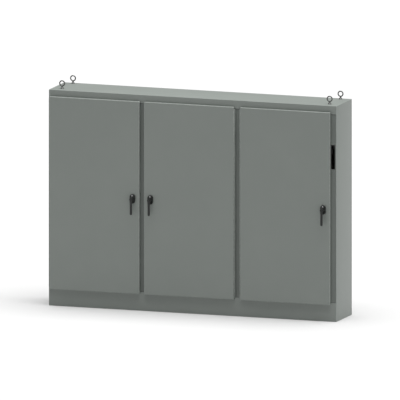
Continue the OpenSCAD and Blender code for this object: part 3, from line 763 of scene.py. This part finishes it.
def grown(name, tree, keys, values, seed_mesh=None):
    """Runs a geometry tree once with these inputs and returns the result as a plain object."""
    host = linked(name, seed_mesh or bpy.data.meshes.new(name))
    nodes_modifier = host.modifiers.new("growth", "NODES")
    nodes_modifier.node_group = tree
    for label, value in values.items():
        nodes_modifier[keys[label]] = value
    grown_mesh = bpy.data.meshes.new_from_object(host.evaluated_get(bpy.context.evaluated_depsgraph_get()))
    host.modifiers.clear()
    host.data = grown_mesh
    return host


def math_node(tree, operation, a=None, b=None):
    node = tree.nodes.new("ShaderNodeMath")
    node.operation = operation
    for socket, value in zip(node.inputs, (a, b)):
        if isinstance(value, bpy.types.NodeSocket):
            tree.links.new(value, socket)
        elif value is not None:
            socket.default_value = value
    return node.outputs[0]


# %% Knuckle tree
INT, MATERIAL, OBJECT = "NodeSocketInt", "NodeSocketMaterial", "NodeSocketObject"
barrels, b_in, b_out, BARREL_KEYS = geometry_tree("knuckle_row", [
    ("Knuckles", INT, 3), ("Spacing", FLOAT, 0.05), ("Length", FLOAT, 0.025), ("Radius", FLOAT, 0.005),
    ("Chamfer", FLOAT, 0.0006), ("Facets", INT, 20), ("First place", VECTOR, (0, 0, 0)),
    ("Finish", MATERIAL, None)])
axis_points = put(barrels, "GeometryNodeMeshLine", {"Count": 4})
place_points = put(barrels, "GeometryNodeSetPosition")
order = put(barrels, "GeometryNodeInputIndex").outputs[0]
upper = math_node(barrels, "GREATER_THAN", order, 1.5)
is_second = math_node(barrels, "COMPARE", order, 1.0)
is_third = math_node(barrels, "COMPARE", order, 2.0)
step_in = math_node(barrels, "MULTIPLY", math_node(barrels, "SUBTRACT", is_second, is_third),
    b_in.outputs["Chamfer"])
height = math_node(barrels, "ADD", math_node(barrels, "MULTIPLY", upper, b_in.outputs["Length"]), step_in)
point = put(barrels, "ShaderNodeCombineXYZ")
is_end = math_node(barrels, "SUBTRACT", 1.0, math_node(barrels, "ADD", is_second, is_third))
pull_in = math_node(barrels, "DIVIDE", math_node(barrels, "MULTIPLY", is_end, b_in.outputs["Chamfer"]),
    b_in.outputs["Radius"])
axis_curve = put(barrels, "GeometryNodeMeshToCurve")
width_set = put(barrels, "GeometryNodeSetCurveRadius")
outline = put(barrels, "GeometryNodeCurvePrimitiveCircle")
skin = put(barrels, "GeometryNodeCurveToMesh", {"Fill Caps": True})
stations = put(barrels, "GeometryNodeMeshLine")
gap = put(barrels, "ShaderNodeCombineXYZ")
copies = put(barrels, "GeometryNodeInstanceOnPoints")
real = put(barrels, "GeometryNodeRealizeInstances")
paint = put(barrels, "GeometryNodeSetMaterial")
wired(barrels,
      (axis_points.outputs["Mesh"], place_points.inputs["Geometry"]), (height, point.inputs["Z"]),
      (point.outputs[0], place_points.inputs["Position"]),
      (place_points.outputs[0], axis_curve.inputs["Mesh"]),
      (axis_curve.outputs[0], width_set.inputs["Curve"]),
      (math_node(barrels, "SUBTRACT", 1.0, pull_in), width_set.inputs["Radius"]),
      (b_in.outputs["Facets"], outline.inputs["Resolution"]),
      (b_in.outputs["Radius"], outline.inputs["Radius"]),
      (width_set.outputs[0], skin.inputs["Curve"]), (outline.outputs["Curve"], skin.inputs["Profile Curve"]),
      (b_in.outputs["Knuckles"], stations.inputs["Count"]),
      (b_in.outputs["First place"], stations.inputs["Start Location"]),
      (b_in.outputs["Spacing"], gap.inputs["Z"]), (gap.outputs[0], stations.inputs["Offset"]),
      (stations.outputs["Mesh"], copies.inputs["Points"]), (skin.outputs["Mesh"], copies.inputs["Instance"]),
      (copies.outputs[0], real.inputs[0]), (real.outputs[0], paint.inputs["Geometry"]),
      (b_in.outputs["Finish"], paint.inputs["Material"]), (paint.outputs[0], b_out.inputs[0]))
print("tree", barrels.name, len(barrels.nodes), "nodes")

# %% [markdown]
# ## Leaves and pins
# The frame leaf stands on its edge behind the knuckles and is welded inside the post, so only a thin web
# shows. The door leaf lies flat against the rim of the door. The web and the door leaf are notched so that
# each barrel has room to turn, and the notches follow the same pitch as the barrels.


# %% Hinge sizes
def box_into(bm, low, high):
    """Adds a closed box between two corners."""
    low, high = [min(a, b) for a, b in zip(low, high)], [max(a, b) for a, b in zip(low, high)]
    v = [bm.verts.new((x, y, z)) for x in (low[0], high[0]) for y in (low[1], high[1]) for z in (low[2],
        high[2])]
    for loop in ((0, 1, 3, 2), (4, 6, 7, 5), (0, 4, 5, 1), (2, 3, 7, 6), (0, 2, 6, 4), (1, 5, 7, 3)):
        bm.faces.new([v[i] for i in loop])


pins_low, pins_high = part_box("hinge_pins")
HINGE_Z0, HINGE_Z1 = pins_low.z, pins_high.z
PIN_R = (pins_high.y - pins_low.y) / 2
HINGE_Y = (pins_low.y + pins_high.y) / 2
BARREL_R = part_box("door_hinge_leaf_1")[0].x
BARREL_R = Vector(joints["door_1_swing"]["pos_m"]).x - BARREL_R
KNUCKLES = 73
PITCH = (HINGE_Z1 - HINGE_Z0) / KNUCKLES
KNUCKLE_GAP = 0.0004
LEAF = 0.0015
DOOR_LEAF_HALF = 0.009
STRIP_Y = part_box("right_flange")[1].y - SHEET
hinge_line = {n: Vector(joints[f"door_{n}_swing"]["pos_m"]).x for n in (1, 2, 3)}
hand = {n: 1 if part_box(f"door_{n}")[0].x > hinge_line[n] else -1 for n in (1, 2, 3)}
print("knuckle radius", round(BARREL_R, 4), "pitch", round(PITCH, 5), "hands", hand)


def knuckle_object(name, n, first, finish):
    count = (KNUCKLES - first + 1) // 2
    return grown(name, barrels, BARREL_KEYS, {
        "Knuckles": count, "Spacing": 2 * PITCH, "Length": PITCH - KNUCKLE_GAP, "Radius": BARREL_R,
        "Chamfer": 0.0007, "Facets": 20, "Finish": finish,
        "First place": (hinge_line[n], HINGE_Y, HINGE_Z0 + first * PITCH + KNUCKLE_GAP / 2)})


# %% Knuckles of both leaves
for n in (1, 2, 3):
    row = knuckle_object(f"frame_knuckles_{n}", n, 0, FINISH["cabinet_paint"])
    finished(row, "cabinet", "cabinet_paint")
    row = knuckle_object(f"door_knuckles_{n}", n, 1, FINISH["cabinet_paint"])
    finished(row, f"door_{n}", "cabinet_paint")

# %% Leaves
web_y = HINGE_Y + BARREL_R + 0.0005
bm = bmesh.new()
for n in (1, 2, 3):
    x, h = hinge_line[n], hand[n]
    box_into(bm, (x - h * LEAF / 2, STRIP_Y - LEAF, HINGE_Z0), (x + h * BARREL_R, STRIP_Y, HINGE_Z1))
    box_into(bm, (x - LEAF / 2, web_y, HINGE_Z0), (x + LEAF / 2, STRIP_Y - LEAF, HINGE_Z1))
    for k in range(0, KNUCKLES, 2):
        z = HINGE_Z0 + k * PITCH + KNUCKLE_GAP / 2
        box_into(bm, (x - LEAF / 2, HINGE_Y + PIN_R, z), (x + LEAF / 2, web_y, z + PITCH - KNUCKLE_GAP))
finished(bevelled("frame_leaves", bm, 0.0002, steps=1), "cabinet", "cabinet_paint", "frame_hinge_leaves")
for n in (1, 2, 3):
    low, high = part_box(f"door_hinge_leaf_{n}")
    x, h = hinge_line[n], hand[n]
    edge_x = high.x if h > 0 else low.x
    bm = bmesh.new()
    box_into(bm, (edge_x - h * LEAF, HINGE_Y - DOOR_LEAF_HALF, HINGE_Z0),
        (edge_x, HINGE_Y + DOOR_LEAF_HALF, HINGE_Z1))
    for k in range(1, KNUCKLES, 2):
        z = HINGE_Z0 + k * PITCH + KNUCKLE_GAP / 2
        tab_end = z + PITCH - KNUCKLE_GAP
        box_into(bm, (x + h * (PIN_R + KNUCKLE_GAP), HINGE_Y - LEAF / 2, z),
            (edge_x - h * LEAF, HINGE_Y + LEAF / 2, tab_end))
    finished(bevelled(f"door_leaf_{n}", bm, 0.0002, steps=1), f"door_{n}", "cabinet_paint",
        f"door_hinge_leaf_{n}")

# %% Pins
bm = bmesh.new()
for n in (1, 2, 3):
    place = Matrix.Translation((hinge_line[n], HINGE_Y, 0))
    turned(bm, [(0, HINGE_Z0), (PIN_R * 0.8, HINGE_Z0), (PIN_R, HINGE_Z0 + 0.0008),
        (PIN_R, HINGE_Z1 - 0.0008),
                (PIN_R * 0.8, HINGE_Z1), (0, HINGE_Z1)], place, 24)
finished(shape_from("hinge_rods", bm), "cabinet", "zinc", "hinge_pins")

# %% [markdown]
# ## Repeated fixings
# Nuts, studs and lifting eyes come in sets that are all alike. One of each is modelled, and a second tree
# sets a copy on every point of a small point mesh. Real nuts never stop at the same angle, so the tree
# turns each copy about the given axis by a random angle with a fixed seed.

# %% Copy tree
copier, c_in, c_out, COPY_KEYS = geometry_tree("set_on_points", [
    ("Piece", OBJECT, None), ("Turn axis", VECTOR, (0, 0, 0)), ("Seed", INT, 1), ("Finish", MATERIAL, None)])
original = put(copier, "GeometryNodeObjectInfo", {"As Instance": True})
angle = put(copier, "FunctionNodeRandomValue", data_type="FLOAT")
angle.inputs[3].default_value = 2 * math.pi
spin = put(copier, "ShaderNodeVectorMath", operation="SCALE")
copies = put(copier, "GeometryNodeInstanceOnPoints")
real = put(copier, "GeometryNodeRealizeInstances")
paint = put(copier, "GeometryNodeSetMaterial")
wired(copier,
      (c_in.outputs["Piece"], original.inputs["Object"]), (c_in.outputs["Seed"], angle.inputs["Seed"]),
      (c_in.outputs["Turn axis"], spin.inputs[0]), (angle.outputs[1], spin.inputs["Scale"]),
      (spin.outputs[0], copies.inputs["Rotation"]), (c_in.outputs["Geometry"], copies.inputs["Points"]),
      (original.outputs["Geometry"], copies.inputs["Instance"]), (copies.outputs[0], real.inputs[0]),
      (real.outputs[0], paint.inputs["Geometry"]), (c_in.outputs["Finish"], paint.inputs["Material"]),
      (paint.outputs[0], c_out.inputs[0]))


def set_of(name, piece, points, finish, turn_axis=(0, 0, 0), seed=3):
    """Copies of piece on the points, as one plain object. The piece itself is taken away."""
    point_mesh = bpy.data.meshes.new(name)
    point_mesh.from_pydata([tuple(p) for p in points], [], [])
    made = grown(name, copier, COPY_KEYS, {"Piece": piece, "Turn axis": turn_axis, "Seed": seed,
                                           "Finish": FINISH[finish]}, point_mesh)
    bpy.data.objects.remove(piece)
    return made


print("tree", copier.name, len(copier.nodes), "nodes")

# %% [markdown]
# ## Shade lines at the joints
# Where a post or flange passes behind a rail, a thin near-black box in the joint gives painted shade. From
# the front it is only a fine dark line under the top rail and above the base rail, but without it the
# recessed strips look painted on. A plain box per joint, a little narrower than its post, is all it takes.

# %% Painted shade lines in the joints
SHADE_LINE_H, SHADE_LINE_T, SHADE_LINE_INSET = 0.003, 0.0008, 0.0035
shade_line_top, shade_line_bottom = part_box("top_rail")[0].z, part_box("base_rail")[1].z
bm = bmesh.new()
for strip in ("left_flange", "right_flange", "post_1", "post_2"):
    low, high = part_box(strip)
    for z in (shade_line_bottom, shade_line_top - SHADE_LINE_H):
        box_into(bm, (low.x + SHADE_LINE_INSET, STRIP_Y - SHADE_LINE_T, z), (high.x - SHADE_LINE_INSET, STRIP_Y, z + SHADE_LINE_H))
bmesh.ops.recalc_face_normals(bm, faces=bm.faces)
# The boxes take the near-black foam finish only as painted shade along the joints.
finished(bevelled("joint_seals", bm, 0.0002, steps=2), "cabinet", "gasket_foam")

# %% [markdown]
# ## Lifting eyes
# An eye bolt is forged in one piece: a ring, a neck that flares into a round foot, and a threaded shank
# that goes through the roof into a nut. A ring and a turned neck are joined by a voxel remesh and a little
# smoothing, which leaves the soft web that a forging has where they meet.

# %% Lifting eyes
eyes_low, eyes_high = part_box("lifting_eyes")
ROOF = BODY_HIGH.z
EYE_WIRE = 0.006
EYE_FOOT = 0.017
EYE_SLACK = 0.00005
EYE_RING = 0.025
eye_points = [(x, y, ROOF) for x in (eyes_low.x + EYE_RING + EYE_WIRE + EYE_SLACK,
    eyes_high.x - EYE_RING - EYE_WIRE - EYE_SLACK)
              for y in (eyes_low.y + EYE_FOOT, eyes_high.y - EYE_FOOT)]
ring_z = eyes_high.z - ROOF - EYE_RING - EYE_WIRE
bm = bmesh.new()
hoop = []
for k in range(64):
    a = 2 * math.pi * k / 64
    hoop.append([bm.verts.new(((EYE_RING + EYE_WIRE * math.cos(b)) * math.cos(a), EYE_WIRE * math.sin(b),
                               ring_z + (EYE_RING + EYE_WIRE * math.cos(b)) * math.sin(a)))
                 for b in np.linspace(0, 2 * math.pi, 20, endpoint=False)])
skinned(bm, hoop + hoop[:1])
turned(bm, [(0, 0), (0.0165, 0), (0.0170, 0.0008), (0.0170, 0.0040), (0.0158, 0.0062), (0.0125, 0.0092),
    (0.0098, 0.0132),
            (0.0080, 0.0185), (0.0072, 0.0240), (0.0070, 0.0290), (0.0055, ring_z - EYE_RING + 0.001),
            (0, ring_z - EYE_RING + 0.001)],
       Matrix.Identity(4), 40)
forging = shape_from("eye_forging", bm, smooth=math.pi)
remesh = forging.modifiers.new("one_skin", "REMESH")
remesh.mode, remesh.voxel_size, remesh.use_smooth_shade = "VOXEL", 0.0009, True
soften = forging.modifiers.new("forged_softness", "SMOOTH")
soften.factor, soften.iterations = 0.5, 5
thin = forging.modifiers.new("fewer_faces", "DECIMATE")
thin.ratio = 0.30
solid_eye = bpy.data.meshes.new_from_object(forging.evaluated_get(bpy.context.evaluated_depsgraph_get()))
forging.modifiers.clear()
forging.data = solid_eye
eyes = set_of("forged_eyes", forging, eye_points, "eye_steel")
finished(eyes, "cabinet", "eye_steel", "lifting_eyes")
print("eye ring centre", round(ring_z, 4))

# %% [markdown]
# ## Shanks, studs and nuts
# Threads are drawn as close rings, not a true helix: at a pitch of a millimetre and a half no eye can tell
# and the mesh stays small. Each nut is a chamfered hexagon with an open bore.


# %% Threaded stud helper
def threaded(bm, place, radius, low, high, pitch=0.0015, depth=0.0006, facets=20):
    """A stud along local Z with thread rings and a chamfered tip at high."""
    steps = int((high - low - 0.001) / (pitch / 2))
    rings = [(radius - depth * (k % 2), low + k * pitch / 2) for k in range(steps)]
    turned(bm, [(0, low), *rings, (radius, high - 0.0012), (radius - 0.0010, high), (0, high)], place, facets)


FRONT = Matrix.Rotation(math.radians(90), 4, "X")
BACK = Matrix.Rotation(math.radians(-90), 4, "X")

# %% Eye shanks and their nuts
bm = bmesh.new()
shank_z = eyes_low.z - ROOF
threaded(bm, Matrix.Rotation(math.pi, 4, "X"), 0.00635, 0.0, -shank_z, depth=0.0007)
shanks = set_of("eye_shanks", shape_from("shank", bm), eye_points, "zinc")
finished(shanks, "cabinet", "zinc")
nuts_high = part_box("eye_nuts")[1]
bm = bmesh.new()
hex_nut(bm, Matrix.Identity(4), 0.019, 0.0064, -0.0125, -0.0025)
turned(bm, [(0.0064, -0.0025), (0.0152, -0.0025), (0.0160, -0.0018), (0.0160, -0.0003), (0.0156, 0),
    (0.0064, 0), (0.0064, -0.0025)],
       Matrix.Identity(4), 36)
roof_nuts = set_of("roof_nuts", shape_from("roof_nut", bm), [(x, y, nuts_high.z) for x, y, _ in eye_points],
    "zinc",
                   (0, 0, 1), 5)
finished(roof_nuts, "cabinet", "zinc", "eye_nuts")

# %% Panel studs and nuts
panel_low, panel_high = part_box("panel_studs")
PANEL_INSET = 0.025
panel_points = []
for n in (1, 2, 3):
    low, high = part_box(f"mounting_panel_{n}")
    panel_points += [(x, 0, z) for x in (low.x + PANEL_INSET,
        high.x - PANEL_INSET) for z in (low.z + PANEL_INSET, high.z - PANEL_INSET)]
panel_front, panel_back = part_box("mounting_panel_1")[0].y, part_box("mounting_panel_1")[1].y
bm = bmesh.new()
turned(bm, [(0, -panel_high.y), (0.0090, -panel_high.y), (0.0090, -panel_back - 0.0006),
    (0.0084, -panel_back), (0, -panel_back)], FRONT, 32)
threaded(bm, FRONT, 0.0048, -panel_back - 0.0001, -panel_low.y)
studs = set_of("collar_studs", shape_from("collar_stud", bm), panel_points, "zinc")
finished(studs, "cabinet", "zinc", "panel_studs")
bm = bmesh.new()
nut_depth = panel_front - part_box("panel_nuts")[0].y
hex_nut(bm, FRONT, 0.016, 0.0049, -panel_front, -panel_front + nut_depth)
nuts = set_of("collar_nuts", shape_from("collar_nut", bm), panel_points, "zinc", (0, 1, 0), 7)
finished(nuts, "cabinet", "zinc", "panel_nuts")

# %% Post studs and nuts
fix_low, fix_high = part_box("post_fixings")
post_points = []
for post in ("post_1", "post_2"):
    low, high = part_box(post)
    centre = (low.x + high.x) / 2
    post_points += [(centre + s * 0.014, 0, z) for s in (-1, 1) for z in (low.z + 0.020, high.z - 0.020)]
bm = bmesh.new()
threaded(bm, BACK, 0.004, fix_low.y, fix_high.y, pitch=0.00125)
hex_nut(bm, BACK, 0.013, 0.0040, STRIP_Y + SHEET, STRIP_Y + SHEET + 0.0065)
fixings = set_of("post_nuts", shape_from("post_nut", bm), post_points, "zinc")
finished(fixings, "cabinet", "zinc", "post_fixings")

# %% Earthing studs
ground_low, ground_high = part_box("ground_studs")
bm = bmesh.new()
for side in (-1, 1):
    place = Matrix.Translation((side * ground_high.x, (ground_low.y + ground_high.y) / 2,
        (ground_low.z + ground_high.z) / 2)) \
        @ Matrix.Rotation(math.radians(-90 * side), 4, "Y")
    threaded(bm, place, 0.005, 0, 0.035)
    hex_nut(bm, place, 0.016, 0.0050, 0, 0.0065)
finished(shape_from("earth_studs", bm), "cabinet", "zinc", "ground_studs")

# %% [markdown]
# ## Latch parts
# Behind each handle a plated cam throws two flat rods, and a nylon roller at the end of each rod runs up
# behind the edge of the opening. They are cut from strip, so the measured shapes only need their edges
# broken. The lock plug is turned brass in chrome with a slot for its key.

# %% Latches, rollers and locks
for n in (1, 2, 3):
    for part, body, finish, radius in (
        ("latch_cam", "handle", "zinc", 0.0004), ("upper_rod", "upper_rod", "zinc", 0.0004),
        ("lower_rod", "lower_rod", "zinc", 0.0004), ("upper_roller", "upper_roller", "nylon", 0.0007),
        ("lower_roller", "lower_roller", "nylon", 0.0007), ("lock_plug", "lock_plug", "lock_chrome", 0.0003),
    ):
        trimmed = bevelled(f"trimmed_{part}_{n}", merged_copy(f"{part}_{n}"), radius, steps=2)
        finished(trimmed, f"{body}_{n}", finish, f"{part}_{n}")

# %% [markdown]
# ## Finishing off
# Any measured part that no piece stands in for stays in view and takes the finish named on it, or else the
# cabinet paint.

# %% Finish
for name, node in nodes.items():
    if not node.hide_render:
        stated = node.data.materials[0].name.split(".")[0] if node.data.materials else "cabinet_paint"
        node.data.materials.clear()
        node.data.materials.append(FINISH.get(stated, FINISH["cabinet_paint"]))
        print("carried over", name, stated)
bpy.context.view_layer.update()
